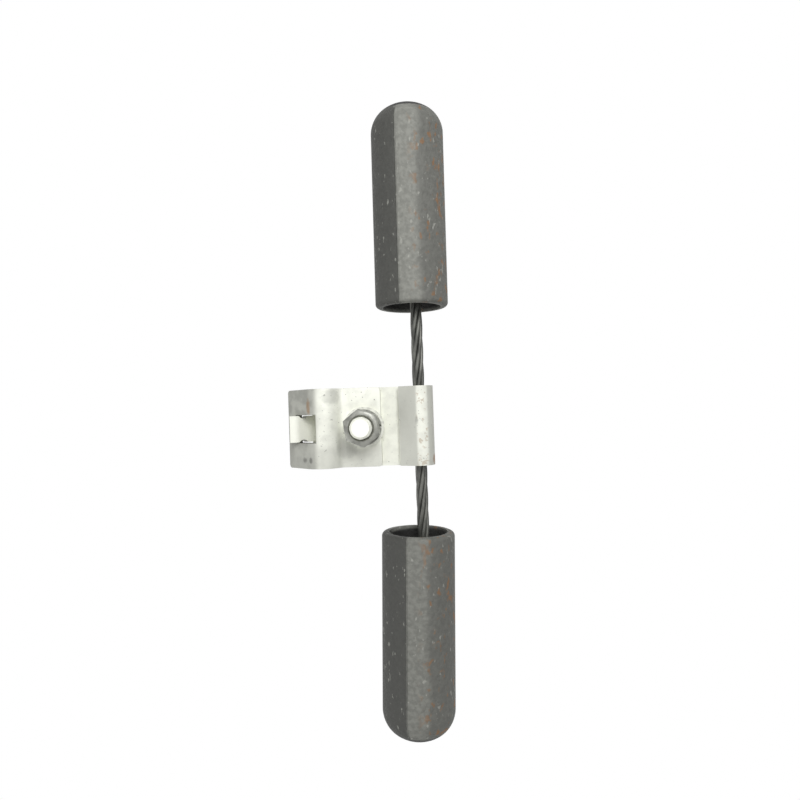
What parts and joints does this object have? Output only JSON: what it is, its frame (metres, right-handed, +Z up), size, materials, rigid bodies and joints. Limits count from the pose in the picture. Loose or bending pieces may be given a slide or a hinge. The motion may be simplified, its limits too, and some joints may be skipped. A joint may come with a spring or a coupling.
{
  "type": "stockbridge vibration damper",
  "caption": "Overhead line vibration damper: cast iron bell weights on a short steel strand, held under a conductor by a folded two-plate clamp with a single bolt.",
  "frame": {"origin": "centre of the conductor groove, midway along the clamp", "axes": "+Z up as the damper hangs; X along the conductor and the strand; the nut is on the -Y side"},
  "size_m": [0.4693, 0.06, 0.1247],
  "materials": {
    "weight_iron": "rough as-cast, dull dark olive grey with rust specks",
    "socket_zinc": "poured zinc, dull grey",
    "strand_steel": "galvanised wire, weathered dark grey",
    "clamp_plate": "hot-dip galvanised, pale and mottled",
    "bolt_steel": "zinc plated, dull",
    "nut_steel": "zinc plated, dark satin grey",
    "washer_zinc": "zinc plated, bright"
  },
  "bodies": {
    "root": {"weight_a": "weight_iron", "weight_b": "weight_iron", "socket_zinc_a": "socket_zinc", "socket_zinc_b": "socket_zinc", "strand_king_wire": "strand_steel", "clamp_body": "clamp_plate", "clamp_keeper": "clamp_plate", "clamp_bolt": "bolt_steel", "clamp_nut": "nut_steel", "flat_washer": "washer_zinc", "spring_washer": "nut_steel", "strand_wire_1": "strand_steel", "strand_wire_2": "strand_steel", "strand_wire_3": "strand_steel", "strand_wire_4": "strand_steel", "strand_wire_5": "strand_steel", "strand_wire_6": "strand_steel"}
  },
  "joints": []
}
